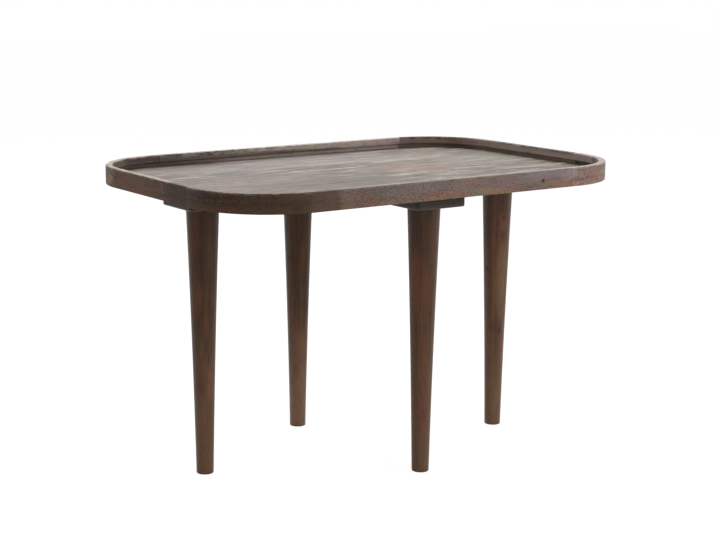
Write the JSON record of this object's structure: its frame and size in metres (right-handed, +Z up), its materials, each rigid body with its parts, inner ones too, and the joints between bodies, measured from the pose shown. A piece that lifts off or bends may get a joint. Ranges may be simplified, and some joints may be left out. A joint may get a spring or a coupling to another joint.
{
  "type": "low table",
  "caption": "Low side table: rounded rectangular tray top with a raised rim on round tapered legs, each leg under its own square block.",
  "frame": {"origin": "on the floor, under the middle of the tray", "axes": "+X along the tray's length, +Y along its width, +Z up"},
  "size_m": [0.7, 0.468, 0.445],
  "materials": {
    "tray_wood": "weathered grey-brown stain, open grain, matt",
    "rim_wood": "dark brown stain, rubbed grey on the edges, matt",
    "block_wood": "near-black stain, matt",
    "leg_wood": "walnut brown stain, satin",
    "dowel_wood": "bare beech",
    "steel": "zinc plated"
  },
  "bodies": {
    "root": {"tray_board_1": "tray_wood", "tray_board_2": "tray_wood", "tray_board_3": "tray_wood", "tray_board_4": "tray_wood", "tray_board_5": "tray_wood", "tray_board_6": "tray_wood", "rim_front": "rim_wood", "rim_back": "rim_wood", "rim_left": "rim_wood", "rim_right": "rim_wood", "rim_corner_front_left": "rim_wood", "rim_corner_front_right": "rim_wood", "rim_corner_back_left": "rim_wood", "rim_corner_back_right": "rim_wood", "rim_dowels_front_left": "dowel_wood", "rim_dowels_front_right": "dowel_wood", "rim_dowels_back_left": "dowel_wood", "rim_dowels_back_right": "dowel_wood", "leg_block_left": "block_wood", "leg_block_right": "block_wood", "leg_block_front": "block_wood", "leg_block_back": "block_wood", "leg_left": "leg_wood", "leg_right": "leg_wood", "leg_front": "leg_wood", "leg_back": "leg_wood", "hanger_bolt_left": "steel", "hanger_bolt_right": "steel", "hanger_bolt_front": "steel", "hanger_bolt_back": "steel", "threaded_sleeve_left": "steel", "threaded_sleeve_right": "steel", "threaded_sleeve_front": "steel", "threaded_sleeve_back": "steel", "block_screws_left": "steel", "block_screws_right": "steel", "block_screws_front": "steel", "block_screws_back": "steel"}
  },
  "joints": []
}
